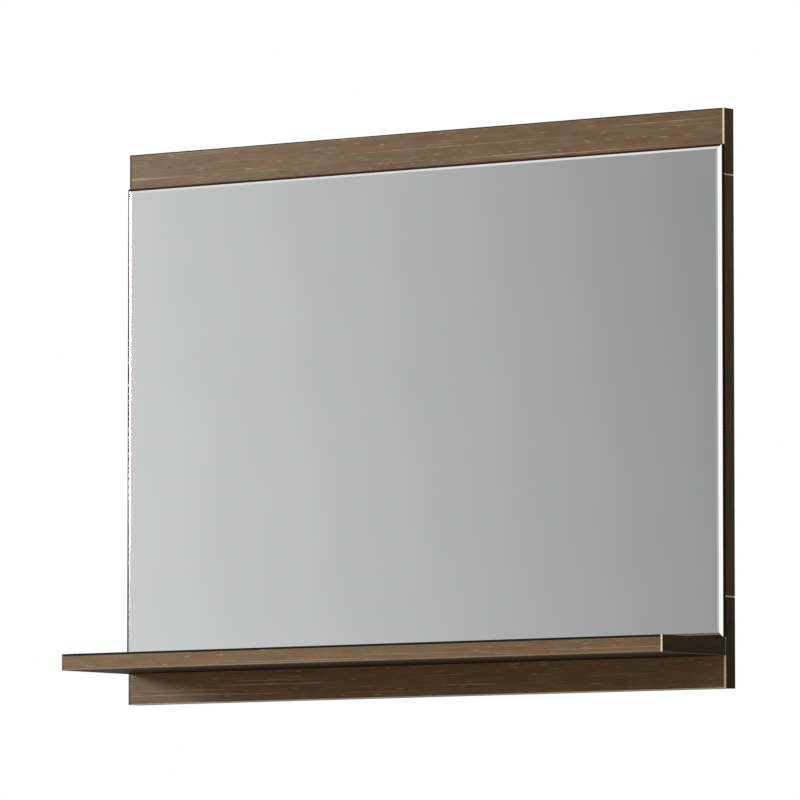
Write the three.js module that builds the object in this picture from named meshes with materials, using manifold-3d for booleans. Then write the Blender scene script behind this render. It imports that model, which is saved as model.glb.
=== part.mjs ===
// Wall mirror with a shelf, in millimetres, +Z up, front towards -Y, wall at y = 0.
//
// A frame of walnut-decor boards (two rails with two stiles between them, dowelled) carries a full-width
// mirror pane on adhesive tape. A shelf as wide as the frame stands out from the lower rail, held by
// dowels and by screws from behind. Two keyhole plates in the back of the upper rail hang it up.
// The origin is on the wall, midway between the keyholes, where the shanks of the wall screws bear.
import * as THREE from "three";
import { mergeVertices } from "three/addons/utils/BufferGeometryUtils.js";
import Module from "manifold-3d";

const wasm = await Module();
wasm.setup();

// Frame, edge bands included
const frameWidth = 700;
const frameHeight = 540;
const boardThickness = 16;
const topRailHeight = 62;
const bottomRailHeight = 85;
const stileWidth = 60;

// Edge bands: thick ones on the sides, thin ones along the grain
const endBandThickness = 2;
const endBandRounding = 1.3;
const longBandThickness = 0.8;
const longBandRounding = 0.4;

// Gaps: between glued or taped faces, round a pin in its hole, and past the tip of a pin
const glueLine = 0.2;
const fitClearance = 0.3;
const holeEndRoom = 0.5;

// Shelf: its reach in front of the frame, and its underside above the frame's lower edge
const shelfDepth = 105;
const shelfHeight = 30;

// Mirror pane: a ground seam all round the rim, then a narrow polished facet
const paneThickness = 3;
const paneTopInset = 34;
const paneSideInset = 0.5;
const paneShelfGap = 1;
const seamWidth = 1.4;
const seamDepth = 0.6;
const facetWidth = 2.5;
const facetDepth = 0.5;

// Adhesive tape behind the pane
const tapeThickness = 0.8;
const tapeWidth = 20;
const tapeEndInset = 15;

// Dowels: two in each joint of the frame, and two in the shelf joint
const dowelDiameter = 8;
const dowelChamfer = 1;
const frameDowelLength = 34;
const frameDowelSpacing = 30;
const shelfDowelInShelf = 19;
const shelfDowelEndDistance = 210;
const boardLeftBehindDowel = 4.5;

// Countersunk screws through the lower rail into the shelf, with hexagon sockets
const shelfScrewDiameter = 5;
const shelfScrewInShelf = 34;
const shelfScrewHeadDiameter = 9;
const shelfScrewHeadHeight = 3;
const shelfScrewTip = 4;
const shelfScrewEndDistance = 70;
const socketWidth = 4;
const socketDepth = 2;

// Keyhole plates let into the back of the upper rail, and the pockets behind them for the screw heads
const hangerEndDistance = 100;
const plateWidth = 56;
const plateHeight = 26;
const plateThickness = 1.5;
const plateCornerRadius = 4;
const plateTopDistance = 14;
const keyholeRadius = 5;
const keyholeSlotWidth = 5;
const keyholeTravel = 10;
const headPocketWidth = 13;
const boardLeftByHeadPocket = 4.6;

// Pan-head screws that hold the plates
const plateScrewDiameter = 3.5;
const plateScrewHeadDiameter = 6.5;
const plateScrewCrownDiameter = 4;
const plateScrewHeadHeight = 1.6;
const plateScrewTip = 3;
const plateScrewEndDistance = 7;
const boardLeftByPlateScrew = 2.9;

// Facets of round pieces and of rounded edges, and how far a cutter runs past a face
const roundSegments = 20;
const arcSegments = 6;
const roundingSteps = 3;
const overrun = 1;

// Derived planes and spans, with z = 0 at the frame's lower edge
const sides = { left: -1, right: 1 };
const sideX = frameWidth / 2;
const boardEndX = sideX - endBandThickness - glueLine;
const bandInnerX = sideX - endBandThickness;
const boardMidY = -boardThickness / 2;
const frameFrontY = -boardThickness;
const topRailBottomZ = frameHeight - topRailHeight;
const topRailBoardTopZ = frameHeight - longBandThickness - glueLine;
const bottomRailBoardBottomZ = longBandThickness + glueLine;
const stileInnerX = sideX - stileWidth;
const stileMidX = (stileInnerX + boardEndX) / 2;
const stileBottomZ = bottomRailHeight + glueLine;
const stileTopZ = topRailBottomZ - glueLine;
const stileMidZ = (stileBottomZ + stileTopZ) / 2;
const shelfMidZ = shelfHeight + boardThickness / 2;
const shelfBackY = frameFrontY - glueLine;
const shelfFrontY = frameFrontY - shelfDepth;
const shelfBoardFrontY = shelfFrontY + longBandThickness + glueLine;
const paneBackY = frameFrontY - tapeThickness - 2 * glueLine;
const paneWidth = frameWidth - 2 * paneSideInset;
const paneBottomZ = shelfHeight + boardThickness + paneShelfGap;
const paneTopZ = frameHeight - paneTopInset;
const frameDowelDepth = frameDowelLength / 2 + holeEndRoom;
const shelfDowelXs = [-1, 1].map((end) => end * (sideX - shelfDowelEndDistance));
const shelfDowelInRail = boardThickness - boardLeftBehindDowel - holeEndRoom;
const shelfScrewXs = [-1, 0, 1].map((end) => end * (sideX - shelfScrewEndDistance));
const shelfScrewLength = boardThickness + shelfScrewInShelf;
const plateBackY = -plateScrewHeadHeight;
const plateBedY = plateBackY - plateThickness - fitClearance;
const plateMidZ = frameHeight - plateTopDistance - plateHeight / 2;
const plateScrewXs = [-1, 1].map((end) => end * (plateWidth / 2 - plateScrewEndDistance));
const plateScrewLength = boardThickness + plateBackY - holeEndRoom - boardLeftByPlateScrew;
const hangingZ = plateMidZ + keyholeTravel / 2;

// Closed bodies are joined and cut as manifolds
function solidOf(geometry) {
  const bare = geometry.clone();
  bare.deleteAttribute("normal");
  bare.deleteAttribute("uv");
  const merged = mergeVertices(bare, 1e-4);
  return new wasm.Manifold(
    new wasm.Mesh({
      numProp: 3,
      vertProperties: merged.attributes.position.array,
      triVerts: new Uint32Array(merged.index.array),
    }),
  );
}

function geometryOf(solid) {
  const mesh = solid.getMesh();
  const indexed = new THREE.BufferGeometry();
  indexed.setAttribute("position", new THREE.BufferAttribute(mesh.vertProperties, 3));
  indexed.setIndex(new THREE.BufferAttribute(mesh.triVerts, 1));
  const geometry = indexed.toNonIndexed();
  geometry.computeVertexNormals();
  return geometry;
}

function cut(geometry, cutters) {
  return geometryOf(cutters.reduce((left, cutter) => left.subtract(solidOf(cutter)), solidOf(geometry)));
}

// Finishes, one material of its own for each piece
const finishes = {
  walnut: { color: 0x77634e, roughness: 0.5, metalness: 0 },
  band: { color: 0x3a2f20, roughness: 0.45, metalness: 0 },
  mirror: { color: 0xc4c8c8, roughness: 0.03, metalness: 1 },
  tape: { color: 0xe9e7e0, roughness: 0.8, metalness: 0 },
  beech: { color: 0xcfae80, roughness: 0.7, metalness: 0 },
  steel: { color: 0xb6b9bb, roughness: 0.35, metalness: 1 },
};

function piece(name, geometry, finish, x, y, z) {
  const mesh = new THREE.Mesh(geometry, new THREE.MeshStandardMaterial(finishes[finish]));
  mesh.name = name;
  mesh.position.set(x, y, z);
  return mesh;
}

// Round pieces, from a profile of [radius, distance along the axis] that runs towards +Z
function turned(profile) {
  const points = profile.map(([radius, along]) => new THREE.Vector2(radius, along));
  return new THREE.LatheGeometry(points, roundSegments).rotateX(Math.PI / 2);
}

function drill(diameter, depth) {
  const radius = diameter / 2 + fitClearance;
  return turned([[0, 0], [radius, 0], [radius, depth], [0, depth]]);
}

// Turns a shape that runs towards +Z so that it runs towards the front
function towardsFront(geometry) {
  return geometry.rotateX(Math.PI / 2);
}

// Flat shapes, drawn in X and Z as seen from the front
function roundedRectangle(width, height, radius) {
  const x = width / 2 - radius;
  const y = height / 2 - radius;
  const shape = new THREE.Shape();
  shape.absarc(x, y, radius, 0, 0.5 * Math.PI, false);
  shape.absarc(-x, y, radius, 0.5 * Math.PI, Math.PI, false);
  shape.absarc(-x, -y, radius, Math.PI, 1.5 * Math.PI, false);
  shape.absarc(x, -y, radius, 1.5 * Math.PI, 2 * Math.PI, false);
  return shape;
}

function uprightSlot(width, travel) {
  const shape = new THREE.Shape();
  shape.absarc(0, travel / 2, width / 2, 0, Math.PI, false);
  shape.absarc(0, -travel / 2, width / 2, Math.PI, 2 * Math.PI, false);
  return shape;
}

function roundHole(x, radius) {
  const hole = new THREE.Path();
  hole.absarc(x, 0, radius, 0, 2 * Math.PI, true);
  return hole;
}

function keyhole() {
  const slotRadius = keyholeSlotWidth / 2;
  const neck = Math.asin(slotRadius / keyholeRadius);
  const hole = new THREE.Path();
  hole.absarc(0, -keyholeTravel / 2, keyholeRadius, Math.PI / 2 - neck, Math.PI / 2 + neck, true);
  hole.absarc(0, keyholeTravel / 2, slotRadius, Math.PI, 0, true);
  return hole;
}

function extruded(shape, depth) {
  const settings = { depth, bevelEnabled: false, curveSegments: arcSegments };
  return towardsFront(new THREE.ExtrudeGeometry(shape, settings));
}

// Plates with a shaped rim. A rim is a list of [inset, height] from the back of the plate to its front
function squareRim(thickness) {
  return [[0, 0], [0, thickness]];
}

function roundedRim(thickness, rounding) {
  const rim = [[0, 0]];
  for (let step = 0; step <= roundingSteps; step += 1) {
    const angle = (step / roundingSteps) * (Math.PI / 2);
    rim.push([rounding * (1 - Math.cos(angle)), thickness - rounding * (1 - Math.sin(angle))]);
  }
  return rim;
}

function rimmedBar(span, rim, length) {
  const right = rim.map(([inset, height]) => new THREE.Vector2(span / 2 - inset, height));
  const left = rim.map(([inset, height]) => new THREE.Vector2(inset - span / 2, height)).reverse();
  const section = new THREE.Shape([...right, ...left]);
  const bar = new THREE.ExtrudeGeometry(section, { depth: length, bevelEnabled: false });
  return bar.rotateX(Math.PI / 2).translate(0, length / 2, 0);
}

// The length runs along X, the width along Y, and the thickness rises from z = 0
function rimmedPlate(length, width, endRim, longRim) {
  const acrossLength = rimmedBar(length, endRim, width);
  const acrossWidth = rimmedBar(width, longRim, length).rotateZ(Math.PI / 2);
  return geometryOf(solidOf(acrossLength).intersect(solidOf(acrossWidth)));
}

// Boards
function frameDowelXs(side) {
  return [-1, 1].map((end) => sides[side] * stileMidX + (end * frameDowelSpacing) / 2);
}

// Holes from a rail's joint face into the rail, which lies above or below that face
function railDowelHoles(jointZ, railIsAbove, midZ) {
  const startZ = railIsAbove ? jointZ : jointZ - frameDowelDepth;
  return Object.keys(sides)
    .flatMap(frameDowelXs)
    .map((x) => drill(dowelDiameter, frameDowelDepth).translate(x, 0, startZ - midZ));
}

function hangerHoles(midZ) {
  const bedShape = roundedRectangle(
    plateWidth + 2 * fitClearance,
    plateHeight + 2 * fitClearance,
    plateCornerRadius + fitClearance,
  );
  const pocketDepth = boardThickness + plateBedY - boardLeftByHeadPocket;
  const pilotDepth = plateScrewLength + holeEndRoom;
  return Object.values(sides).flatMap((side) => {
    const x = side * (sideX - hangerEndDistance);
    const z = plateMidZ - midZ;
    const bed = extruded(bedShape, overrun - plateBedY).translate(x, overrun - boardMidY, z);
    const pocket = extruded(uprightSlot(headPocketWidth, keyholeTravel), overrun + pocketDepth);
    const pilots = plateScrewXs.map((offset) =>
      towardsFront(drill(plateScrewDiameter, pilotDepth)).translate(x + offset, plateBackY - boardMidY, z),
    );
    return [bed, pocket.translate(x, plateBedY + overrun - boardMidY, z), ...pilots];
  });
}

function topRail() {
  const midZ = (topRailBottomZ + topRailBoardTopZ) / 2;
  const board = new THREE.BoxGeometry(2 * boardEndX, boardThickness, topRailBoardTopZ - topRailBottomZ);
  const holes = [...railDowelHoles(topRailBottomZ, true, midZ), ...hangerHoles(midZ)];
  return piece("top_rail", cut(board, holes), "walnut", 0, boardMidY, midZ);
}

function shelfScrewHole() {
  const radius = shelfScrewDiameter / 2 + fitClearance;
  const headRadius = shelfScrewHeadDiameter / 2 + fitClearance;
  return towardsFront(turned([
    [0, -overrun],
    [headRadius, -overrun],
    [headRadius, 0],
    [radius, shelfScrewHeadHeight],
    [radius, boardThickness + overrun],
    [0, boardThickness + overrun],
  ]));
}

function bottomRail() {
  const height = bottomRailHeight - bottomRailBoardBottomZ;
  const midZ = (bottomRailBoardBottomZ + bottomRailHeight) / 2;
  const board = new THREE.BoxGeometry(2 * boardEndX, boardThickness, height);
  const z = shelfMidZ - midZ;
  const screwHoles = shelfScrewXs.map((x) => shelfScrewHole().translate(x, -boardMidY, z));
  const dowelDepth = shelfDowelInRail + holeEndRoom;
  const dowelHoles = shelfDowelXs.map((x) =>
    towardsFront(drill(dowelDiameter, dowelDepth + overrun)).translate(x, boardMidY + dowelDepth, z),
  );
  const holes = [...railDowelHoles(bottomRailHeight, false, midZ), ...screwHoles, ...dowelHoles];
  return piece("bottom_rail", cut(board, holes), "walnut", 0, boardMidY, midZ);
}

function stile(side) {
  const midX = sides[side] * stileMidX;
  const height = stileTopZ - stileBottomZ;
  const board = new THREE.BoxGeometry(boardEndX - stileInnerX, boardThickness, height);
  const holes = frameDowelXs(side).flatMap((x) =>
    [-height / 2, height / 2 - frameDowelDepth].map((z) =>
      drill(dowelDiameter, frameDowelDepth).translate(x - midX, 0, z),
    ),
  );
  return piece(`${side}_stile`, cut(board, holes), "walnut", midX, boardMidY, stileMidZ);
}

function shelfBoard() {
  const midY = (shelfBackY + shelfBoardFrontY) / 2;
  const board = new THREE.BoxGeometry(2 * boardEndX, shelfBackY - shelfBoardFrontY, boardThickness);
  const backHole = (x, diameter, depth) =>
    towardsFront(drill(diameter, depth + holeEndRoom + overrun)).translate(x, shelfBackY + overrun - midY, 0);
  const holes = [
    ...shelfScrewXs.map((x) => backHole(x, shelfScrewDiameter, shelfScrewInShelf)),
    ...shelfDowelXs.map((x) => backHole(x, dowelDiameter, shelfDowelInShelf)),
  ];
  return piece("shelf_board", cut(board, holes), "walnut", 0, midY, shelfMidZ);
}

// Edge bands. The side bands cover the ends of the long ones
function endBand(length) {
  const rim = roundedRim(endBandThickness, Math.min(endBandRounding, endBandThickness));
  return rimmedPlate(length, boardThickness, rim, rim);
}

function longBand() {
  const rim = roundedRim(longBandThickness, Math.min(longBandRounding, longBandThickness));
  return rimmedPlate(2 * boardEndX, boardThickness, squareRim(longBandThickness), rim);
}

function frameSideBand(name, side, bottomZ, topZ) {
  const midZ = (bottomZ + topZ) / 2;
  const band = piece(name, endBand(topZ - bottomZ), "band", sides[side] * bandInnerX, boardMidY, midZ);
  band.rotation.y = (sides[side] * Math.PI) / 2;
  return band;
}

function shelfEndBand(side) {
  const midY = (shelfBackY + shelfFrontY) / 2;
  const geometry = endBand(shelfBackY - shelfFrontY);
  const band = piece(`shelf_${side}_band`, geometry, "band", sides[side] * bandInnerX, midY, shelfMidZ);
  band.rotation.set(Math.PI / 2, (sides[side] * Math.PI) / 2, 0);
  return band;
}

function longBands() {
  const topZ = frameHeight - longBandThickness;
  const frontY = shelfFrontY + longBandThickness;
  const top = piece("top_rail_top_band", longBand(), "band", 0, boardMidY, topZ);
  const bottom = piece("bottom_rail_bottom_band", longBand(), "band", 0, boardMidY, longBandThickness);
  const front = piece("shelf_front_band", longBand(), "walnut", 0, frontY, shelfMidZ);
  bottom.rotation.x = Math.PI;
  front.rotation.x = Math.PI / 2;
  return [top, bottom, front];
}

// Mirror pane and its tape
function mirrorPane() {
  const rim = [
    [0, 0],
    [0, paneThickness - facetDepth - seamDepth],
    [seamWidth, paneThickness - facetDepth],
    [seamWidth + facetWidth, paneThickness],
  ];
  const geometry = rimmedPlate(paneWidth, paneTopZ - paneBottomZ, rim, rim);
  const pane = piece("mirror_pane", geometry, "mirror", 0, paneBackY, (paneBottomZ + paneTopZ) / 2);
  pane.rotation.x = Math.PI / 2;
  return pane;
}

function tapeStrips() {
  const midY = frameFrontY - glueLine - tapeThickness / 2;
  const acrossLength = paneWidth - 2 * tapeEndInset;
  const uprightLength = stileTopZ - stileBottomZ - 2 * tapeEndInset;
  const across = () => new THREE.BoxGeometry(acrossLength, tapeThickness, tapeWidth);
  const upright = () => new THREE.BoxGeometry(tapeWidth, tapeThickness, uprightLength);
  return [
    piece("top_mirror_tape", across(), "tape", 0, midY, (topRailBottomZ + paneTopZ) / 2),
    piece("bottom_mirror_tape", across(), "tape", 0, midY, (bottomRailHeight + paneBottomZ) / 2),
    piece("left_mirror_tape", upright(), "tape", -stileMidX, midY, stileMidZ),
    piece("right_mirror_tape", upright(), "tape", stileMidX, midY, stileMidZ),
  ];
}

// Dowels
function dowel(length) {
  const radius = dowelDiameter / 2;
  return turned([
    [0, 0],
    [radius - dowelChamfer, 0],
    [radius, dowelChamfer],
    [radius, length - dowelChamfer],
    [radius - dowelChamfer, length],
    [0, length],
  ]);
}

function frameDowels(side) {
  const joints = { top: (stileTopZ + topRailBottomZ) / 2, bottom: (stileBottomZ + bottomRailHeight) / 2 };
  return Object.entries(joints).flatMap(([joint, jointZ]) =>
    frameDowelXs(side).map((x, index) => {
      const name = `${side}_${joint}_dowel_${index + 1}`;
      return piece(name, dowel(frameDowelLength), "beech", x, boardMidY, jointZ - frameDowelLength / 2);
    }),
  );
}

function shelfDowels() {
  return shelfDowelXs.map((x, index) => {
    const geometry = towardsFront(dowel(shelfDowelInRail + shelfDowelInShelf));
    return piece(`shelf_dowel_${index + 1}`, geometry, "beech", x, frameFrontY + shelfDowelInRail, shelfMidZ);
  });
}

// Screws
function shelfScrews() {
  const profile = [
    [0, 0],
    [shelfScrewHeadDiameter / 2, 0],
    [shelfScrewDiameter / 2, shelfScrewHeadHeight],
    [shelfScrewDiameter / 2, shelfScrewLength - shelfScrewTip],
    [0, shelfScrewLength],
  ];
  const socketRadius = socketWidth / Math.sqrt(3);
  const socket = new THREE.CylinderGeometry(socketRadius, socketRadius, 2 * socketDepth, 6);
  socket.rotateX(Math.PI / 2);
  return shelfScrewXs.map((x, index) => {
    const geometry = towardsFront(cut(turned(profile), [socket]));
    return piece(`shelf_screw_${index + 1}`, geometry, "steel", x, 0, shelfMidZ);
  });
}

// The head stands off the plate by a glue line, so the shank is that much shorter in the board
function plateScrew() {
  const headHeight = plateScrewHeadHeight - glueLine;
  return towardsFront(turned([
    [0, 0],
    [plateScrewCrownDiameter / 2, 0],
    [plateScrewHeadDiameter / 2, headHeight / 2],
    [plateScrewHeadDiameter / 2, headHeight],
    [plateScrewDiameter / 2, headHeight],
    [plateScrewDiameter / 2, plateScrewHeadHeight + plateScrewLength - plateScrewTip],
    [0, plateScrewHeadHeight + plateScrewLength],
  ]));
}

// Keyhole plate with its screws, in a group at the middle of the plate
function hanger(side) {
  const outline = roundedRectangle(plateWidth, plateHeight, plateCornerRadius);
  const screwHoles = plateScrewXs.map((x) => roundHole(x, plateScrewDiameter / 2 + fitClearance));
  outline.holes.push(keyhole(), ...screwHoles);
  const plate = piece(`${side}_keyhole_plate`, extruded(outline, plateThickness), "steel", 0, plateBackY, 0);
  const screws = plateScrewXs.map((x, index) =>
    piece(`${side}_plate_screw_${index + 1}`, plateScrew(), "steel", x, 0, 0),
  );
  const group = new THREE.Group();
  group.position.set(sides[side] * (sideX - hangerEndDistance), 0, plateMidZ);
  return group.add(plate, ...screws);
}

// Assembly, lowered so that the hanging line is at z = 0
const mirrorWithShelf = new THREE.Group();
const assembly = new THREE.Group();
assembly.position.z = -hangingZ;
mirrorWithShelf.add(assembly);

assembly.add(topRail(), bottomRail(), shelfBoard(), ...longBands());
for (const side of Object.keys(sides)) {
  assembly.add(
    stile(side),
    frameSideBand(`top_rail_${side}_band`, side, topRailBottomZ, frameHeight),
    frameSideBand(`${side}_stile_band`, side, stileBottomZ, stileTopZ),
    frameSideBand(`bottom_rail_${side}_band`, side, 0, bottomRailHeight),
    shelfEndBand(side),
    ...frameDowels(side),
    hanger(side),
  );
}
assembly.add(...shelfDowels(), ...shelfScrews(), ...tapeStrips(), mirrorPane());

export default mirrorWithShelf;
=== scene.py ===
# Wall mirror with a shelf: the finishes and the fine shapes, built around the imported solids.
# Metres, +Z up, front towards -Y, wall at y = 0, origin on the hanging line.
from math import atan2, cos, pi, radians, sin

import bpy
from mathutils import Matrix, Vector


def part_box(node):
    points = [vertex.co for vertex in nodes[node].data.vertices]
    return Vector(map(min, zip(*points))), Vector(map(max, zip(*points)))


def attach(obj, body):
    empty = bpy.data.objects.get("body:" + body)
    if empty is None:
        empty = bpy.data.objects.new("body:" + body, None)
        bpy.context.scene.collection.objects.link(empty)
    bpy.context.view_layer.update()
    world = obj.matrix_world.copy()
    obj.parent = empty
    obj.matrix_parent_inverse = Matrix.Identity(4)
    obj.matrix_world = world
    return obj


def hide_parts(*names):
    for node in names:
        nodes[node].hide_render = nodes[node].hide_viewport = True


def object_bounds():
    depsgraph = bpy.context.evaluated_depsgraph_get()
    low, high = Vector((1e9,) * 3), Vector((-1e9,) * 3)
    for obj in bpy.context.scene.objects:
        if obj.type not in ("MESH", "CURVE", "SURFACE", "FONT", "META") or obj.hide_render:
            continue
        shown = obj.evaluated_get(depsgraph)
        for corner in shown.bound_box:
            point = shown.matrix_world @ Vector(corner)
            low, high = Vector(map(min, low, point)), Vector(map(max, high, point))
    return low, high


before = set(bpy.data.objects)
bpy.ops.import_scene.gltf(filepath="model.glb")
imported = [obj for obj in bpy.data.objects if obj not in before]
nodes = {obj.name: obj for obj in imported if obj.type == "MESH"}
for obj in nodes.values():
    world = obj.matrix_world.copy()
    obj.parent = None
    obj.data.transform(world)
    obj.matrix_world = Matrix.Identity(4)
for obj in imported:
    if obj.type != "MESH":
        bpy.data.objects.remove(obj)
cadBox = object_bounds()
mm = 0.001
near = 0.01 * mm  # closer than this counts as the same place
along = 0.99  # a normal with more than this on an axis points along it
print("frame loaded,", len(nodes), "nodes")


def toLinear(hexColour):
    # the usual sRGB curve
    parts = [int(hexColour[at:at + 2], 16) / 255 for at in (1, 3, 5)]
    return [c / 12.92 if c < 0.04045 else ((c + 0.055) / 1.055) ** 2.4 for c in parts] + [1]


def addNode(tree, kind, settings=None, inputs=None, stops=None):
    # inputs hold plain values, or the output sockets that feed them
    node = tree.nodes.new(kind)
    for name, value in (settings or {}).items():
        setattr(node, name, value)
    for socket, value in (inputs or {}).items():
        if isinstance(value, bpy.types.NodeSocket):
            tree.links.new(value, node.inputs[socket])
        else:
            node.inputs[socket].default_value = value
    if stops:
        ramp = node.color_ramp
        while len(ramp.elements) < len(stops):
            ramp.elements.new(0.5)
        for element, (place, colour) in zip(ramp.elements, stops):
            element.position = place
            element.color = toLinear(colour)
    return node


def newMaterial(name):
    material = bpy.data.materials.new(name)
    material.use_nodes = True
    tree = material.node_tree
    tree.nodes.clear()
    shader = addNode(tree, "ShaderNodeBsdfPrincipled")
    addNode(tree, "ShaderNodeOutputMaterial", None, {"Surface": shader.outputs["BSDF"]})
    return material, tree, shader


def deselectAll():
    if bpy.context.object and bpy.context.object.mode != "OBJECT":
        bpy.ops.object.mode_set(mode="OBJECT")
    bpy.ops.object.select_all(action="DESELECT")


def makeActive(piece):
    deselectAll()
    piece.select_set(True)
    bpy.context.view_layer.objects.active = piece


def settle(piece):
    # puts the object's place, turn and scale into its mesh
    makeActive(piece)
    bpy.ops.object.transform_apply(location=True, rotation=True, scale=True)


def addBlock(name, low, high):
    # a box between two corners
    deselectAll()
    low, high = Vector(low), Vector(high)
    bpy.ops.mesh.primitive_cube_add(size=1, location=(low + high) / 2, scale=high - low)
    piece = bpy.context.object
    piece.name = piece.data.name = name
    settle(piece)
    return piece


def addRod(name, start, length, axis, vertices, radius, endRadius=None):
    # a round rod, or a cone, from start along +Z or along -Y, which is towards the front
    deselectAll()
    turn, way = ((0, 0, 0), Vector((0, 0, 1))) if axis == "Z" else ((radians(90), 0, 0), Vector((0, -1, 0)))
    bpy.ops.mesh.primitive_cone_add(
        vertices=vertices, radius1=radius, radius2=radius if endRadius is None else endRadius,
        depth=length, location=Vector(start) + way * length / 2, rotation=turn,
    )
    piece = bpy.context.object
    piece.name = piece.data.name = name
    settle(piece)
    return piece


def pick(piece, kind, test):
    # goes into edit mode with just the faces or edges chosen for which test is true
    makeActive(piece)
    bpy.ops.object.mode_set(mode="EDIT")
    bpy.ops.mesh.select_mode(type={"polygons": "FACE", "edges": "EDGE"}[kind])
    bpy.ops.mesh.select_all(action="DESELECT")
    bpy.ops.object.mode_set(mode="OBJECT")
    for element in getattr(piece.data, kind):
        element.select = test(element)
    bpy.ops.object.mode_set(mode="EDIT")


def middleOf(piece, edge):
    first, second = (piece.data.vertices[v].co for v in edge.vertices)
    return (first + second) / 2


def paint(piece, materials, chooser):
    # chooser gives each face the name of its material
    piece.data.materials.clear()
    names = list(materials)
    for name in names:
        piece.data.materials.append(materials[name])
    for face in piece.data.polygons:
        face.material_index = names.index(chooser(face))


def paintAll(piece, material):
    paint(piece, {"all": material}, lambda face: "all")


def applyModifier(piece, kind, settings):
    makeActive(piece)
    modifier = piece.modifiers.new("step", kind)
    for name, value in settings.items():
        setattr(modifier, name, value)
    bpy.ops.object.modifier_apply(modifier=modifier.name)


def carve(piece, cutter):
    applyModifier(piece, "BOOLEAN", dict(operation="DIFFERENCE", solver="EXACT", object=cutter))
    bpy.data.objects.remove(cutter, do_unlink=True)


def smooth(piece, angle=35):
    makeActive(piece)
    bpy.ops.object.shade_smooth_by_angle(angle=radians(angle))


def standFor(piece, node):
    # one new piece takes the place of one solid
    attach(piece, "root")
    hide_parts(node)


def middleOfNode(node):
    low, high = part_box(node)
    return (low + high) / 2


def repeatFor(piece, firstNode, allNodes):
    # the piece stands for the first node, and copies with their own meshes for the others
    for node in allNodes:
        twin = piece
        if node != firstNode:
            twin = piece.copy()
            twin.data = piece.data.copy()
            twin.name = twin.data.name = piece.name + "_" + node
            bpy.context.scene.collection.objects.link(twin)
            twin.location = middleOfNode(node) - middleOfNode(firstNode)
            settle(twin)
        standFor(twin, node)


# Melamine-faced board: a walnut print under clear satin melamine. The eye sees warm brown with soft
# olive and reddish clouds, a few short pale and dark ticks along the grain, and shallow pressed pores.
walnut = dict(
    board=dict(olive="#68553a", brown="#6b5134", red="#6d4f32", tick="#b59e7e", line="#463520"),
    shelfBand=dict(olive="#6c573a", brown="#6f5333", red="#715030", tick="#b39c7c", line="#4f3c26"),
    # the ends' print is darkened so that it also paints in the sides' shade; the shelf's underside takes it
    # too
    band=dict(olive="#453a20", brown="#473a1f", red="#4a3921", tick="#6b5b3c", line="#2c210e"),
    lowBand=dict(olive="#30280d", brown="#32270c", red="#34270d", tick="#4a3e20", line="#1f1706"),
    roughness=0.52, roughnessChange=0.06, ior=1.35, dullIor=1.15, poreDepth=0.05, poreStrength=0.35,
    patchPlaces=(0.36, 0.5, 0.64), cloudShare=0.19, cloudPlaces=(0.3, 0.7),
    # length along the grain and width across it in mm, and how many finer octaves; ticks, lines and
    # pores are wider than on the real print, which would be too fine to show
    layers=dict(
        patch=(46, 15, 2),
        cloud=(48, 5.5, 3),
        lines=(18, 1.6, 1),
        ticks=(17, 1.4, 1),
        threads=(240, 1.8, 1),
        pores=(9, 0.7, 1),
    ),
    layerShift=(7.3, 3.1, 1.7),  # moves each layer on, so that no two look alike
    # where on its noise a mark begins and where it is full, and how strong it then is
    marks=dict(lines=(0.63, 0.77, 0.75), ticks=(0.66, 0.79, 0.75), threads=(0.66, 0.74, 1)),
)


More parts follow.
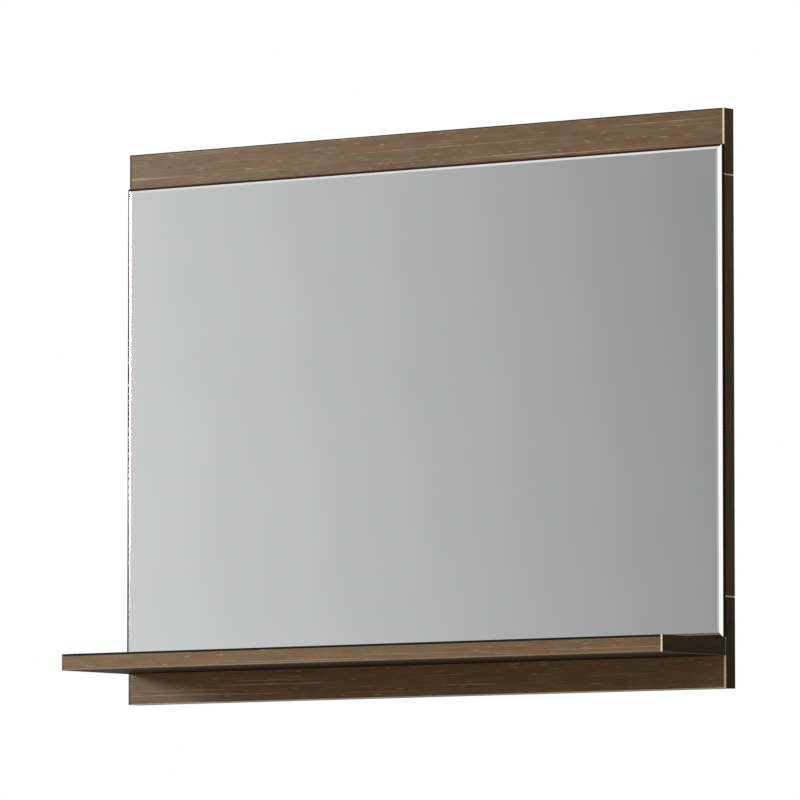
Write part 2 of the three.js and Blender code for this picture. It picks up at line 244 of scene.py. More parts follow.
def walnutDecor(name, grain, colours, ior=walnut["ior"]):
    material, tree, shader = newMaterial(name)
    turn = {"X": (0, 0, 0), "Y": (0, 0, radians(90)), "Z": (0, radians(90), 0)}[grain]
    place = addNode(tree, "ShaderNodeTexCoord")
    turned = addNode(
        tree, "ShaderNodeMapping", None, {"Vector": place.outputs["Object"], "Rotation": turn}
    )
    noise = {}
    for at, (layer, (length, width, octaves)) in enumerate(walnut["layers"].items()):
        stretched = addNode(tree, "ShaderNodeMapping", None, {
            "Vector": turned.outputs["Vector"],
            "Scale": (1 / (length * mm), 1 / (width * mm), 1 / (width * mm)),
            "Location": [shift * at for shift in walnut["layerShift"]],
        })
        texture = addNode(tree, "ShaderNodeTexNoise", None, {
            "Vector": stretched.outputs["Vector"], "Scale": 1, "Detail": octaves,
            "Roughness": 0.55, "Distortion": 0.3,
        })
        noise[layer] = texture.outputs["Fac"]
    tones = (colours["olive"], colours["brown"], colours["red"])
    patch = addNode(
        tree, "ShaderNodeValToRGB", None, {"Fac": noise["patch"]}, list(zip(walnut["patchPlaces"], tones)),
    )
    dim, bright = walnut["cloudPlaces"]
    cloud = addNode(tree, "ShaderNodeMapRange", None, {
        "Value": noise["cloud"], "From Min": dim, "From Max": bright,
        "To Min": 1 - walnut["cloudShare"], "To Max": 1 + walnut["cloudShare"],
    })
    clouded = addNode(tree, "ShaderNodeVectorMath", {"operation": "SCALE"}, {
        0: patch.outputs["Color"], "Scale": cloud.outputs["Result"],
    })
    shares = {}
    for mark, (start, full, strength) in walnut["marks"].items():
        share = addNode(tree, "ShaderNodeMapRange", None, {
            "Value": noise[mark], "From Min": start, "From Max": full, "To Max": strength,
        })
        shares[mark] = share.outputs["Result"]
    lined = addNode(tree, "ShaderNodeMix", {"data_type": "RGBA"}, {
        "Factor": shares["lines"], "A": clouded.outputs["Vector"], "B": toLinear(colours["line"]),
    })
    # long pale threads, which fade where the noise of the ticks is low
    broken = addNode(tree, "ShaderNodeMath", {"operation": "MULTIPLY"}, {
        0: shares["threads"], 1: noise["ticks"],
    })
    paleShare = addNode(tree, "ShaderNodeMath", {"operation": "MAXIMUM"}, {
        0: shares["ticks"], 1: broken.outputs[0],
    })
    ticked = addNode(tree, "ShaderNodeMix", {"data_type": "RGBA"}, {
        "Factor": paleShare.outputs[0], "A": lined.outputs["Result"], "B": toLinear(colours["tick"]),
    })
    gloss = addNode(tree, "ShaderNodeMapRange", None, {
        "Value": noise["cloud"],
        "To Min": walnut["roughness"] - walnut["roughnessChange"],
        "To Max": walnut["roughness"] + walnut["roughnessChange"],
    })
    pressed = addNode(tree, "ShaderNodeBump", None, {
        "Height": noise["pores"], "Strength": walnut["poreStrength"], "Distance": walnut["poreDepth"] * mm,
    })
    tree.links.new(ticked.outputs["Result"], shader.inputs["Base Color"])
    tree.links.new(gloss.outputs["Result"], shader.inputs["Roughness"])
    tree.links.new(pressed.outputs["Normal"], shader.inputs["Normal"])
    shader.inputs["IOR"].default_value = ior
    return material


# Chipboard, sawn and drilled: pressed wood chips 1 to 4 mm long in pale and dark tan, rough, unsealed
chips = dict(
    size=2.2, grit=0.8, gritShare=0.4, roughness=0.85, tornDepth=0.3, tornStrength=0.6,
    tones=[(0.1, "#8f6f47"), (0.6, "#b8966a"), (1.0, "#d3b88d")],
)


def rawChipboard():
    material, tree, shader = newMaterial("rawChipboard")
    place = addNode(tree, "ShaderNodeTexCoord")
    cells = addNode(tree, "ShaderNodeTexVoronoi", None, {
        "Vector": place.outputs["Object"], "Scale": 1 / (chips["size"] * mm), "Randomness": 1,
    })
    grit = addNode(tree, "ShaderNodeTexNoise", None, {
        "Vector": place.outputs["Object"], "Scale": 1 / (chips["grit"] * mm), "Detail": 2,
    })
    shade = addNode(tree, "ShaderNodeSeparateColor", None, {0: cells.outputs["Color"]})
    mixed = addNode(tree, "ShaderNodeMath", {"operation": "MULTIPLY_ADD"}, {
        0: grit.outputs["Fac"], 1: chips["gritShare"], 2: shade.outputs["Red"],
    })
    ramp = addNode(tree, "ShaderNodeValToRGB", None, {"Fac": mixed.outputs[0]}, chips["tones"])
    torn = addNode(tree, "ShaderNodeBump", None, {
        "Height": mixed.outputs[0], "Strength": chips["tornStrength"], "Distance": chips["tornDepth"] * mm,
    })
    tree.links.new(ramp.outputs["Color"], shader.inputs["Base Color"])
    tree.links.new(torn.outputs["Normal"], shader.inputs["Normal"])
    shader.inputs["Roughness"].default_value = chips["roughness"]
    return material


fineGrain = dict(octaves=3, low=0.25, high=0.75, roughnessShare=0.15, reliefStrength=0.3)


def fineFinish(name, colour, roughness, metallic=0, ior=1.5, grain=1.0, change=0.12, depth=0.03):
    # shared by the fine-grained finishes: colour and roughness wander over grain mm, the relief is depth mm
    material, tree, shader = newMaterial(name)
    place = addNode(tree, "ShaderNodeTexCoord")
    speck = addNode(tree, "ShaderNodeTexNoise", None, {
        "Vector": place.outputs["Object"], "Scale": 1 / (grain * mm), "Detail": fineGrain["octaves"],
    })
    light = addNode(tree, "ShaderNodeMapRange", None, {
        "Value": speck.outputs["Fac"], "From Min": fineGrain["low"], "From Max": fineGrain["high"],
        "To Min": 1 - change, "To Max": 1 + change,
    })
    toned = addNode(tree, "ShaderNodeVectorMath", {"operation": "SCALE"}, {
        0: toLinear(colour)[:3], "Scale": light.outputs["Result"],
    })
    rough = addNode(tree, "ShaderNodeMapRange", None, {
        "Value": speck.outputs["Fac"],
        "To Min": roughness * (1 - fineGrain["roughnessShare"]),
        "To Max": roughness * (1 + fineGrain["roughnessShare"]),
    })
    relief = addNode(tree, "ShaderNodeBump", None, {
        "Height": speck.outputs["Fac"], "Strength": fineGrain["reliefStrength"], "Distance": depth * mm,
    })
    tree.links.new(toned.outputs["Vector"], shader.inputs["Base Color"])
    tree.links.new(rough.outputs["Result"], shader.inputs["Roughness"])
    tree.links.new(relief.outputs["Normal"], shader.inputs["Normal"])
    shader.inputs["Metallic"].default_value = metallic
    if not metallic:
        shader.inputs["IOR"].default_value = ior
    return material


# Float glass, silvered behind: a clear mirror with the faint grey-green of the glass and a trace of haze
silver = dict(hazeSize=90, clearest=0.004, haziest=0.02, tones=[(0.3, "#f1f3f2"), (0.7, "#f4f5f5")])


def silveredGlass():
    material, tree, shader = newMaterial("silveredGlass")
    place = addNode(tree, "ShaderNodeTexCoord")
    haze = addNode(tree, "ShaderNodeTexNoise", None, {
        "Vector": place.outputs["Object"], "Scale": 1 / (silver["hazeSize"] * mm), "Detail": 3,
    })
    tint = addNode(tree, "ShaderNodeValToRGB", None, {"Fac": haze.outputs["Fac"]}, silver["tones"])
    wipe = addNode(tree, "ShaderNodeMapRange", None, {
        "Value": haze.outputs["Fac"], "To Min": silver["clearest"], "To Max": silver["haziest"],
    })
    tree.links.new(tint.outputs["Color"], shader.inputs["Base Color"])
    tree.links.new(wipe.outputs["Result"], shader.inputs["Roughness"])
    shader.inputs["Metallic"].default_value = 1
    return material


decor = {axis: walnutDecor("walnutMelamineAlong" + axis, axis, walnut["board"]) for axis in "XZ"}
# ABS edge band for the shelf's front, printed and satin: the boards' walnut, a touch lighter
shelfBandDecor = walnutDecor("walnutShelfBand", "X", walnut["shelfBand"])
# ABS edge band for the ends, printed and satin: a darker, greener walnut, darkened so that it also paints
# in the shade of the sides turned from the light
shadedBandDecor = walnutDecor("shadedWalnutAbsBand", "Z", walnut["band"])
# The same from a darker roll, for the lower ends: deep brown, its figure barely seen
lowBandDecor = {
    axis: walnutDecor("darkWalnutAbsBandAlong" + axis, axis, walnut["lowBand"]) for axis in "YZ"
}
# Painted shade under the shelf: the ends' dark print without the satin coat, dull and shadowy
underShadeDecor = walnutDecor("shadeWalnutSheet", "X", walnut["band"], walnut["dullIor"])
chipboard = rawChipboard()
# Cream ABS, bared where the edge trimmer rounded the printed band: satin, faint cutter marks. Set on the
# right-hand ends only, where it also paints in the bright edge highlight
creamRimAndHighlight = fineFinish("creamAbsRimAndHighlight", "#e3d4b6", 0.45, ior=1.53, grain=1.5)
# Nearly black, matt rim: painted shade where a band's front rim lies beside the pane, and a dark line on
# the other rims it is given
darkRimAndShade = fineFinish("darkAbsRimAndShade", "#1a0f06", 0.85, ior=1.3, grain=1.5)
# Pale tan along the lower arris of the shelf's bands: a painted highlight
arrisHighlight = fineFinish("paintedHighlightAbsArris", "#8d7557", 0.5, ior=1.45, grain=2)
# Unprinted ABS band along the lower edge, extruded: plain pale grey, satin, almost even; its near-white
# tone also paints in the bright reflection along the rail's underside
greyBand = fineFinish("plainGreyAbs", "#c6c7c5", 0.5, ior=1.53, grain=3, change=0.06)
mirrorFace = silveredGlass()
# Float glass, ground and polished to a narrow facet: catches the light as a bright line
polishedGlass = fineFinish(
    "polishedMirrorFacet", "#f4f6f5", 0.12, metallic=1, grain=8, change=0.01, depth=0,
)
# Ground glass, sealed with dark lacquer against damp: a matt line, almost black with a touch of red
groundEdge = fineFinish("lacqueredGlassEdge", "#331004", 0.85, ior=1.3, grain=0.6)
# Roller-coated backing paint: flat grey with a slow mottle
backPaint = fineFinish("mirrorBackPaint", "#6d7275", 0.5, grain=14, change=0.06)
# Pressed steel, bright zinc plated: pale grey metal with a light spangle
zincSteel = fineFinish("zincPlatedSteel", "#bfc2c4", 0.32, metallic=1, grain=2.5, change=0.08)
# PE foam tape: matt off-white with open cells
foamTape = fineFinish("foamTape", "#e9e7e0", 0.85, grain=0.7, depth=0.1)
# Beech, turned and left raw: pale tan with short flecks
beech = fineFinish("turnedBeech", "#cfae80", 0.7, grain=1.6)
print("finishes ready")


camera = dict(
    lens=349.5, sensor=36, turn=35.94, tilt=4.43, place=(4.3191, -6.0046, -0.8070),
    nearest=0.1, farthest=200,
)
# turns and heights are in degrees: 0 is straight in front of the part, and 90 to its right
stage = dict(
    floorDrop=4, floorSize=160, floorColour="#f4f3f0", floorRoughness=0.9,
    keyTurn=-60, keyHeight=8, keyDistance=2.6, keySize=0.6, keyPower=43,
    fillTurn=-155, fillHeight=30, fillDistance=4, fillSize=2, fillPower=110,
    # the room from its bright side to its dim one at darkTurn: as it lights the part, and as reflected
    darkTurn=110, tonePlaces=(0.1, 0.4, 0.85), roomStrength=1.1,
    roomTones=("#d8d8d8", "#dedede", "#585858"), seenTones=("#b0b0b0", "#c4c4c4", "#585858"),
    # which way, from where to where, and what it turns to there
    roomChanges=[
        ("Y", 0.1, 0.6, "#4a4a4a"), ("Z", 0.2, 0.8, "#ffffff"),
        ("Z", -0.02, -0.3, "#fae4bd"), ("Z", -0.3, -0.85, "#2b241b"),
    ],
    seenChanges=[("Z", 0.2, 0.7, "#ffffff"), ("Z", -0.3, -0.9, "#5a5a5a")],
    # a card for the glass to reflect, dark on one side and pale on the other; the tones pass over
    # cardSpan metres, and lean by cardSlope
    cardDistance=2.6, cardWidth=1.3, cardHeight=1.2, cardSpan=1.15, cardSlope=0.12,
    cardTones=[(0.15, "#9a9a9a"), (0.85, "#d5d5d5")],
    # a soft bright strip for the polished facet; it fades between two shares of its width from its middle
    stripTurn=0.3, stripWidth=0.75, stripHeight=2.4, stripDistance=2.6, stripGlow=1.1, stripRim=0.575,
    stripFade=(0.03, 0.42),
)


def addCamera():
    data = bpy.data.cameras.new("camera")
    data.lens = camera["lens"]
    data.sensor_width = camera["sensor"]
    data.clip_start = camera["nearest"]
    data.clip_end = camera["farthest"]
    piece = bpy.data.objects.new("camera", data)
    bpy.context.scene.collection.objects.link(piece)
    piece.location = camera["place"]
    piece.rotation_euler = (radians(90 + camera["tilt"]), 0, radians(camera["turn"]))
    bpy.context.scene.camera = piece


def addWorld():
    # white to the camera, grey in reflections, and to light the part a soft room: dim to its right and
    # behind it, bright overhead and warm below
    world = bpy.data.worlds.new("softRoom")
    bpy.context.scene.world = world
    world.use_nodes = True
    tree = world.node_tree
    tree.nodes.clear()
    direction = addNode(tree, "ShaderNodeTexCoord")
    turn = radians(stage["darkTurn"])
    towardsDark = addNode(tree, "ShaderNodeVectorMath", {"operation": "DOT_PRODUCT"}, {
        0: direction.outputs["Generated"], 1: (sin(turn), -cos(turn), 0),
    })
    share = addNode(tree, "ShaderNodeMapRange", None, {
        "Value": towardsDark.outputs["Value"], "From Min": -1, "From Max": 1,
    })
    parts = addNode(tree, "ShaderNodeSeparateXYZ", None, {0: direction.outputs["Generated"]})

    def graded(tones, changes):
        ramp = addNode(
            tree, "ShaderNodeValToRGB", None, {"Fac": share.outputs["Result"]},
            list(zip(stage["tonePlaces"], tones)),
        )
        colour = ramp.outputs["Color"]
        for axis, start, end, tone in changes:
            change = addNode(tree, "ShaderNodeMapRange", {"interpolation_type": "SMOOTHSTEP"}, {
                "Value": parts.outputs[axis], "From Min": start, "From Max": end,
            })
            mix = addNode(tree, "ShaderNodeMix", {"data_type": "RGBA"}, {
                "Factor": change.outputs["Result"], "A": colour, "B": toLinear(tone),
            })
            colour = mix.outputs["Result"]
        return colour

    ray = addNode(tree, "ShaderNodeLightPath")
    seen = addNode(tree, "ShaderNodeMix", {"data_type": "RGBA"}, {
        "Factor": ray.outputs["Is Glossy Ray"],
        "A": graded(stage["roomTones"], stage["roomChanges"]),
        "B": graded(stage["seenTones"], stage["seenChanges"]),
    })
    room = addNode(tree, "ShaderNodeBackground", None, {
        "Color": seen.outputs["Result"], "Strength": stage["roomStrength"],
    })
    white = addNode(tree, "ShaderNodeBackground", None, {"Color": (1, 1, 1, 1), "Strength": 1})
    both = addNode(tree, "ShaderNodeMixShader", None, {
        0: ray.outputs["Is Camera Ray"], 1: room.outputs[0], 2: white.outputs[0],
    })
    addNode(tree, "ShaderNodeOutputWorld", None, {"Surface": both.outputs[0]})


def addLight(name):
    # a square soft box that looks at the middle of the part
    turn, height = radians(stage[name + "Turn"]), radians(stage[name + "Height"])
    away = Vector((sin(turn) * cos(height), -cos(turn) * cos(height), sin(height)))
    data = bpy.data.lights.new(name + "Light", "AREA")
    data.energy = stage[name + "Power"]
    data.size = stage[name + "Size"]
    piece = bpy.data.objects.new(name + "Light", data)
    bpy.context.scene.collection.objects.link(piece)
    piece.visible_camera = False
    piece.location = (cadBox[0] + cadBox[1]) / 2 + away * stage[name + "Distance"]
    piece.rotation_euler = away.to_track_quat("Z", "Y").to_euler()


def addFloor():
    low = cadBox[0].z - stage["floorDrop"]
    deselectAll()
    bpy.ops.mesh.primitive_plane_add(size=stage["floorSize"], location=(0, 0, low))
    floor = bpy.context.object
    floor.name = "floor"
    material, tree, shader = newMaterial("paleFloor")
    shader.inputs["Base Color"].default_value = toLinear(stage["floorColour"])
    shader.inputs["Roughness"].default_value = stage["floorRoughness"]
    floor.data.materials.append(material)
    floor.visible_diffuse = False
    floor.visible_glossy = False


def addCard(name, turn, tilt, distance, width, height, glow):
    # a glowing card that is seen only in reflections; turn and tilt say where it stands from the mirror
    turn, tilt = radians(turn), radians(tilt)
    towards = Vector((sin(turn) * cos(tilt), -cos(turn) * cos(tilt), sin(tilt)))
    low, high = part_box("mirror_pane")
    middle = Vector(((low.x + high.x) / 2, low.y, (low.z + high.z) / 2))
    deselectAll()
    bpy.ops.mesh.primitive_plane_add(size=1)
    card = bpy.context.object
    card.name = name
    card.scale = (width, height, 1)
    card.location = middle + towards * distance
    card.rotation_euler = (-towards).to_track_quat("Z", "Y").to_euler()
    material = bpy.data.materials.new(name + "Glow")
    material.use_nodes = True
    material.node_tree.nodes.clear()
    emission = glow(material.node_tree)
    addNode(material.node_tree, "ShaderNodeOutputMaterial", None, {"Surface": emission.outputs[0]})
    card.data.materials.append(material)
    card.visible_camera = card.visible_diffuse = card.visible_shadow = False
    card.light_linking.receiver_collection = mirrorOnly


def gradedGlow(tree):
    # dark to pale across the card, with its middle tone at the middle
    middleTone = 0.5
    place = addNode(tree, "ShaderNodeTexCoord")
    across = addNode(tree, "ShaderNodeSeparateXYZ", None, {0: place.outputs["Object"]})
    sloped = addNode(tree, "ShaderNodeMath", {"operation": "MULTIPLY_ADD"}, {
        0: across.outputs["Y"], 1: -stage["cardSlope"] * stage["cardHeight"], 2: middleTone,
    })
    share = addNode(tree, "ShaderNodeMath", {"operation": "MULTIPLY_ADD"}, {
        0: across.outputs["X"], 1: stage["cardWidth"] / stage["cardSpan"], 2: sloped.outputs[0],
    })
    ramp = addNode(tree, "ShaderNodeValToRGB", None, {"Fac": share.outputs[0]}, stage["cardTones"])
    return addNode(tree, "ShaderNodeEmission", None, {"Color": ramp.outputs["Color"]})


def softGlow(tree):
    # bright along the middle of the card and as grey as the room at its two sides
    place = addNode(tree, "ShaderNodeTexCoord")
    across = addNode(tree, "ShaderNodeSeparateXYZ", None, {0: place.outputs["Object"]})
    aside = addNode(tree, "ShaderNodeMath", {"operation": "ABSOLUTE"}, {0: across.outputs["X"]})
    start, end = stage["stripFade"]
    strength = addNode(tree, "ShaderNodeMapRange", {"interpolation_type": "SMOOTHSTEP"}, {
        "Value": aside.outputs[0], "From Min": start, "From Max": end,
        "To Min": stage["stripGlow"], "To Max": stage["stripRim"],
    })
    return addNode(tree, "ShaderNodeEmission", None, {"Strength": strength.outputs["Result"]})


bpy.context.scene.view_settings.view_transform = "Standard"
mirrorOnly = bpy.data.collections.new("mirrorOnly")
addCamera()
addWorld()
addLight("key")
addLight("fill")
addFloor()
addCard(
    "mirrorCard", -camera["turn"], camera["tilt"], stage["cardDistance"],
    stage["cardWidth"], stage["cardHeight"], gradedGlow,
)
addCard(
    "stripCard", stage["stripTurn"], camera["tilt"], stage["stripDistance"],
    stage["stripWidth"], stage["stripHeight"], softGlow,
)
print("camera and stage ready")


# Boards: the print is on both broad faces, except the shelf's underside, which is painted dark as shade;
# raw chipboard on sawn edges and in the holes
boards = dict(
    top_rail=("Y", "X"), bottom_rail=("Y", "X"), shelf_board=("Z", "X"),
    left_stile=("Y", "Z"), right_stile=("Y", "Z"),
)


def dressBoard(name, facing, grain):
    axis = "XYZ".index(facing)
    low, high = (corner[axis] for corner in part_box(name))

    def finish(face):
        if abs(face.center[axis] - low) < near:
            # the shelf's underside takes the dark sheet, which is painted shade
            return "under" if facing == "Z" else "face"
        return "face" if abs(face.center[axis] - high) < near else "sawn"

    paint(nodes[name], dict(face=decor[grain], under=underShadeDecor, sawn=chipboard), finish)


for name, (facing, grain) in boards.items():
    dressBoard(name, facing, grain)
print("boards dressed")


bands = dict(
    longRounding=0.75 * mm, frontRounding=0.8 * mm, endRounding=0.7 * mm, steps=5,
    darkEdgeWidth=2.2 * mm, highlightWidth=1.2 * mm,
    # a rim that leans more than this to the front, or up or down, takes that side's finish
    frontLean=0.3, endLean=0.2,
)


def scoreAcross(band, height):
    # cuts a line round the band at a height, so that its faces can differ above and below
    pick(band, "polygons", lambda face: True)
    bpy.ops.mesh.bisect(plane_co=(0, 0, height), plane_no=(0, 0, 1))
    bpy.ops.object.mode_set(mode="OBJECT")


def roundRims(band, outward, outer, rounding, isWanted):
    def isRim(edge):
        middle = middleOf(band, edge)
        return abs(outward.dot(middle) - outer) < near and isWanted(middle)

    pick(band, "edges", isRim)
    bpy.ops.mesh.bevel(offset=rounding, segments=bands["steps"], affect="EDGES")
    bpy.ops.object.mode_set(mode="OBJECT")


def addLongBand(node, outward, faceFinish, upperFinish, lowerFinish):
    # a thin band along a board: the rims of its outer face are rounded over nearly its whole thickness
    low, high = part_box(node)
    band = addBlock(node + "_trimmed", low, high)
    outward = Vector(outward)
    outer = max(outward.dot(low), outward.dot(high))
    roundRims(
        band, outward, outer, bands["longRounding"],
        lambda middle: min(middle.x - low.x, high.x - middle.x) > near,
    )
    # a front band gets a dark strip along its top and a painted highlight along its bottom
    upperLine, lowerLine = high.z - bands["darkEdgeWidth"], low.z + bands["highlightWidth"]
    if outward.y:
        scoreAcross(band, upperLine)
        scoreAcross(band, lowerLine)

    def finish(face):
        if outward.y and face.center.z > upperLine:
            return "upper"
        if outward.y and face.center.z < lowerLine:
            return "lower"
        return "face" if abs(face.normal.z) > along or outward.y else "upper"

    paint(band, dict(face=faceFinish, upper=upperFinish, lower=lowerFinish), finish)
    smooth(band)
    standFor(band, node)


def addEndBand(node, side, faceFinish, frontFinish, lowFinish, highFinish):
    # a thick band on a board's end, its rims rounded; beside the pane the front rim is painted dark, as
    # painted shade
    low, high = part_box(node)
    band = addBlock(node + "_trimmed", low, high)
    outward = Vector((side, 0, 0))
    outer = max(outward.dot(low), outward.dot(high))
    for rounding, wantsFront in ((bands["endRounding"], False), (bands["frontRounding"], True)):
        roundRims(band, outward, outer, rounding, lambda at: (at.y - low.y < near) == wantsFront)
    paneLow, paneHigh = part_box("mirror_pane")
    for height in (paneLow.z, paneHigh.z):
        if low.z < height < high.z:
            scoreAcross(band, height)

    def finish(face):
        if face.normal.x * side > along:
            return "face"
        if face.normal.y < -bands["frontLean"]:
            # between the pane's top and bottom, the front rim takes the painted shade
            return "dark" if paneLow.z < face.center.z < paneHigh.z else "front"
        if abs(face.normal.z) > bands["endLean"]:
            return "low" if face.normal.z < 0 else "high"
        return "dark"

    paint(
        band, dict(face=faceFinish, front=frontFinish, low=lowFinish, high=highFinish, dark=darkRimAndShade),
        finish,
    )
    smooth(band)
    standFor(band, node)


addLongBand("top_rail_top_band", (0, 0, 1), decor["X"], darkRimAndShade, darkRimAndShade)
# the pale lower band also paints in the reflection along the rail's underside
addLongBand("bottom_rail_bottom_band", (0, 0, -1), greyBand, greyBand, greyBand)
addLongBand("shelf_front_band", (0, -1, 0), shelfBandDecor, darkRimAndShade, arrisHighlight)
sides = (("left", -1, shadedBandDecor, shelfBandDecor), ("right", 1, creamRimAndHighlight, creamRimAndHighlight))
for name, side, rim, shelfRim in sides:
    # the rims are printed on the left and cream on the right, where the cream also paints in the edge
    # highlight
    addEndBand("top_rail_" + name + "_band", side, shadedBandDecor, rim, rim, darkRimAndShade)
    addEndBand(name + "_stile_band", side, shadedBandDecor, rim, rim, rim)
    addEndBand("bottom_rail_" + name + "_band", side, lowBandDecor["Z"], rim, darkRimAndShade, rim)
    addEndBand("shelf_" + name + "_band", side, lowBandDecor["Y"], shelfRim, arrisHighlight, darkRimAndShade)
print("edge bands done")


pane = dict(
    # width and rise of each ring round the face, from the rim inwards
    arris=(0.4 * mm, 0.15 * mm), seam=(1.9 * mm, 0.45 * mm),
    facet=(2.1 * mm, 0.48 * mm), fade=(2 * mm, 0.1 * mm),
    paintBorder=1.5 * mm, rightSide=10 * mm,
)


def addPane():
    # flat glass: a lacquered arris and seam round its rim, a polished facet that fades in, and paint behind
    low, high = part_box("mirror_pane")
    rings = [pane[name] for name in ("arris", "seam", "facet", "fade")]
    glass = addBlock("mirror_glass", (low.x, low.y + sum(rise for width, rise in rings), low.z), high)
    pick(glass, "polygons", lambda face: face.normal.y < -along)
    for width, rise in rings:
        bpy.ops.mesh.inset(thickness=width, depth=rise)
    pick(glass, "polygons", lambda face: face.normal.y > along)
    bpy.ops.mesh.inset(thickness=pane["paintBorder"], depth=0)
    bpy.ops.object.mode_set(mode="OBJECT")
    fadeY = low.y + pane["fade"][1]
    facetY = fadeY + pane["facet"][1]
    seamY = facetY + pane["seam"][1]
    middle = (low + high) / 2

    def finish(face):
        # on the right the seam is polished like the facet
        isRight = face.center.x > high.x - pane["rightSide"]
        if face.center.y < fadeY:
            return "silver"
        if face.center.y < facetY or (isRight and face.center.y < seamY):
            return "facet"
        if face.normal.y > along and (face.center - middle).xz.length < near:
            return "paint"
        return "edge"

    paint(glass, dict(silver=mirrorFace, facet=polishedGlass, edge=groundEdge, paint=backPaint), finish)
    standFor(glass, "mirror_pane")
    mirrorOnly.objects.link(glass)


addPane()
print("mirror pane done")


tape = dict(softness=0.2 * mm, steps=3, smoothAngle=60)


def addTape(node):
    # a strip of foam with soft cut edges
    low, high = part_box(node)
    strip = addBlock(node + "_strip", low, high)
    pick(strip, "edges", lambda edge: True)
    bpy.ops.mesh.bevel(offset=tape["softness"], segments=tape["steps"], affect="EDGES")
    bpy.ops.object.mode_set(mode="OBJECT")
    paintAll(strip, foamTape)
    smooth(strip, tape["smoothAngle"])
    standFor(strip, node)


for name in ("top", "bottom", "left", "right"):
    addTape(name + "_mirror_tape")
print("tape done")


dowel = dict(
    sides=40, chamfer=1 * mm, chamferSteps=2, fluteLip=0.12 * mm, fluteDepth=0.3 * mm, smoothAngle=20,
)


def addDowel(name, node):
    # a fluted dowel with chamfered ends, along +Z or towards the front
    low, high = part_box(node)
    middle, size = (low + high) / 2, high - low
    axis = "Z" if size.z > size.y else "Y"
    start = (middle.x, middle.y, low.z) if axis == "Z" else (middle.x, high.y, middle.z)
    rod = addRod(name, start, max(size), axis, dowel["sides"], min(size) / 2)
    at = "XYZ".index(axis)
    ends = (low[at], high[at])
    pick(rod, "edges", lambda edge: min(abs(middleOf(rod, edge)[at] - end) for end in ends) < near)
    bpy.ops.mesh.bevel(offset=dowel["chamfer"], segments=dowel["chamferSteps"], affect="EDGES")
    across = 1 if axis == "Z" else 2

    def isFlute(face):
        # every second side, and none of the faces that lean to an end
        step = atan2(face.normal[across], face.normal.x) / (2 * pi) * dowel["sides"]
        return abs(face.normal[at]) < 1 - along and round(step - 0.5) % 2 == 0

    pick(rod, "polygons", isFlute)
    bpy.ops.mesh.inset(thickness=dowel["fluteLip"], depth=-dowel["fluteDepth"], use_individual=True)
    bpy.ops.object.mode_set(mode="OBJECT")
    paintAll(rod, beech)
    smooth(rod, dowel["smoothAngle"])
    return rod


frameDowels = sorted(name for name in nodes if "_dowel_" in name and not name.startswith("shelf"))
shelfDowels = sorted(name for name in nodes if name.startswith("shelf_dowel"))
for name, group in (("frame_dowel", frameDowels), ("shelf_dowel", shelfDowels)):
    repeatFor(addDowel(name, group[0]), group[0], group)
print("dowels done")


# head, core and crest are radii; plain is what is left smooth between the head and the thread
shelfScrew = dict(
    head=4.5 * mm, headHeight=3 * mm, rimSoftness=0.2 * mm, rimSteps=2,
    core=1.8 * mm, crest=2.5 * mm, pitch=2.4 * mm, length=50 * mm, tip=4 * mm, plain=8 * mm,
    socketWidth=4 * mm, socketDepth=2 * mm,
)
plateScrew = dict(
    head=3.25 * mm, headHeight=1.4 * mm, dome=1.2 * mm, domeSteps=6,
    core=1.2 * mm, crest=1.75 * mm, pitch=1.4 * mm, length=12.6 * mm, tip=3 * mm, plain=0.6 * mm,
    armWidth=0.9 * mm, armLength=3.6 * mm, armDepth=0.9 * mm, armTaper=0.6,
)
screws = dict(sides=48, threadSteps=24, threadRoot=0.15 * mm, tipShare=0.12, smoothAngle=30)
cutMargin = 1 * mm  # how far a cutter stands out of what it cuts


def addShank(head, size):
    # draws the shank and the tip out of the front of the head
    pick(head, "polygons", lambda face: face.normal.y < -along)
    rim = [v for face in head.data.polygons if face.select for v in face.vertices]
    front = max(head.data.vertices[v].co.xz.length for v in rim)
    bpy.ops.mesh.inset(thickness=front - size["core"], depth=0)
    shank = size["length"] - size["headHeight"] - size["tip"]
    bpy.ops.mesh.extrude_region_move(TRANSFORM_OT_translate=dict(value=(0, -shank, 0)))
    bpy.ops.mesh.extrude_region_move(TRANSFORM_OT_translate=dict(value=(0, -size["tip"], 0)))
    share = screws["tipShare"]
    bpy.ops.transform.resize(value=(share, 1, share), center_override=(0, -size["length"], 0))
    bpy.ops.object.mode_set(mode="OBJECT")


def addThread(size):
    # a three-sided ridge wound round the axis, its root sunk a little into the shank
    radius = (size["crest"] - size["core"] + screws["threadRoot"]) / 1.5  # a triangle is 1.5 radii high
    start = size["headHeight"] + size["plain"]
    turns = int((size["length"] - size["tip"] - start) / size["pitch"])
    deselectAll()
    bpy.ops.mesh.primitive_circle_add(
        vertices=3, radius=radius, location=(size["crest"] - radius, -start, 0),
        rotation=(0, 0, radians(-90)),
    )
    ridge = bpy.context.object
    settle(ridge)
    applyModifier(ridge, "SCREW", dict(
        axis="Y", angle=2 * pi, screw_offset=-size["pitch"], iterations=turns,
        steps=screws["threadSteps"], render_steps=screws["threadSteps"],
    ))
    makeActive(ridge)
    bpy.ops.object.mode_set(mode="EDIT")
    bpy.ops.mesh.select_mode(type="EDGE")
    bpy.ops.mesh.select_all(action="DESELECT")
    bpy.ops.mesh.select_non_manifold()
    bpy.ops.mesh.edge_face_add()
    bpy.ops.mesh.select_all(action="SELECT")
    bpy.ops.mesh.normals_make_consistent(inside=False)
    bpy.ops.object.mode_set(mode="OBJECT")
    return ridge


def finishScrew(head, size, node):
    # joins head and thread, and moves the screw from the origin to its place
    ridge = addThread(size)
    makeActive(head)
    ridge.select_set(True)
    bpy.ops.object.join()
    head.location = (middleOfNode(node).x, 0, middleOfNode(node).z)
    settle(head)
    paintAll(head, zincSteel)
    smooth(head, screws["smoothAngle"])


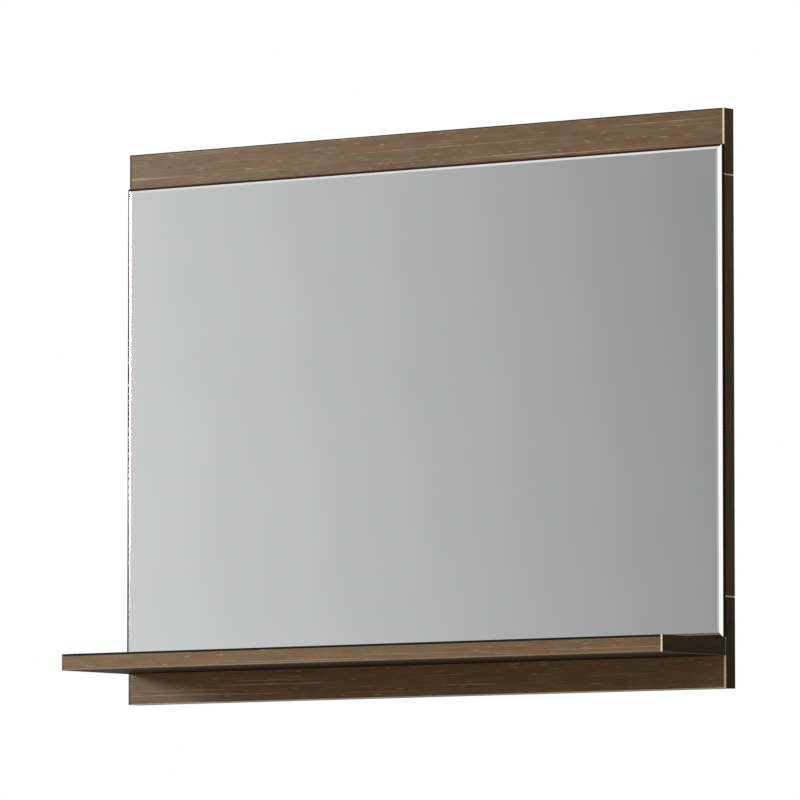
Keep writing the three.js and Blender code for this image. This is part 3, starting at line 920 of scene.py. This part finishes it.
def addShelfScrew(node):
    # countersunk, with a hexagon socket
    size = shelfScrew
    screw = addRod(
        "shelf_screw", (0, 0, 0), size["headHeight"], "Y", screws["sides"], size["head"], size["crest"],
    )
    addShank(screw, size)
    pick(screw, "edges", lambda edge: abs(middleOf(screw, edge).y) < near)
    bpy.ops.mesh.bevel(offset=size["rimSoftness"], segments=size["rimSteps"], affect="EDGES")
    bpy.ops.object.mode_set(mode="OBJECT")
    corner = size["socketWidth"] / 3 ** 0.5  # a hexagon's radius to its corners
    carve(screw, addRod("socket", (0, cutMargin, 0), cutMargin + size["socketDepth"], "Y", 6, corner))
    finishScrew(screw, size, node)
    return screw


def addPlateScrew(node):
    # pan head with a cross recess
    size = plateScrew
    screw = addRod("plate_screw", (0, 0, 0), size["headHeight"], "Y", screws["sides"], size["head"])
    addShank(screw, size)
    pick(screw, "edges", lambda edge: abs(middleOf(screw, edge).y) < near)
    bpy.ops.mesh.bevel(offset=size["dome"], segments=size["domeSteps"], affect="EDGES")
    bpy.ops.object.mode_set(mode="OBJECT")
    half, width, taper = size["armLength"] / 2, size["armWidth"] / 2, size["armTaper"]
    for wide, high in ((half, width), (width, half)):
        arm = addBlock("arm", (-wide, -size["armDepth"], -high), (wide, cutMargin, high))
        pick(arm, "polygons", lambda face: face.normal.y < -along)
        bpy.ops.transform.resize(value=(taper, 1, taper), center_override=(0, -size["armDepth"], 0))
        bpy.ops.object.mode_set(mode="OBJECT")
        carve(screw, arm)
    finishScrew(screw, size, node)
    return screw


shelfScrews = sorted(name for name in nodes if name.startswith("shelf_screw"))
plateScrews = sorted(name for name in nodes if "_plate_screw_" in name)
repeatFor(addShelfScrew(shelfScrews[0]), shelfScrews[0], shelfScrews)
repeatFor(addPlateScrew(plateScrews[0]), plateScrews[0], plateScrews)
print("screws done")


plate = dict(
    cornerRadius=4 * mm, cornerSteps=8, entryRadius=5 * mm, slotRadius=2.5 * mm, travel=10 * mm,
    screwHole=2.05 * mm, screwDistance=21 * mm, sides=48,
    edgeSoftness=0.18 * mm, edgeSteps=2, edgeAngle=60, smoothAngle=30,
)


def addKeyholePlate(node):
    # pressed plate with round corners: an entry hole, a slot above it, and two screw holes
    low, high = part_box(node)
    middle, thickness = (low + high) / 2, high.y - low.y
    sheet = addBlock("keyhole_plate", low, high)
    pick(sheet, "edges", lambda edge: abs(middleOf(sheet, edge).y - middle.y) < near)
    bpy.ops.mesh.bevel(offset=plate["cornerRadius"], segments=plate["cornerSteps"], affect="EDGES")
    bpy.ops.object.mode_set(mode="OBJECT")
    reach = thickness + 2 * cutMargin
    half = plate["travel"] / 2
    slot = plate["slotRadius"]
    holes = [
        (0, -half, plate["entryRadius"]), (0, half, slot),
        (-plate["screwDistance"], 0, plate["screwHole"]), (plate["screwDistance"], 0, plate["screwHole"]),
    ]
    for x, z, radius in holes:
        start = (middle.x + x, high.y + cutMargin, middle.z + z)
        carve(sheet, addRod("hole", start, reach, "Y", plate["sides"], radius))
    carve(sheet, addBlock(
        "slot", (middle.x - slot, low.y - cutMargin, middle.z - half),
        (middle.x + slot, high.y + cutMargin, middle.z + half),
    ))
    applyModifier(sheet, "BEVEL", dict(
        width=plate["edgeSoftness"], segments=plate["edgeSteps"],
        limit_method="ANGLE", angle_limit=radians(plate["edgeAngle"]),
    ))
    paintAll(sheet, zincSteel)
    smooth(sheet, plate["smoothAngle"])
    return sheet


plates = sorted(name for name in nodes if name.endswith("_keyhole_plate"))
repeatFor(addKeyholePlate(plates[0]), plates[0], plates)
print("keyhole plates done")
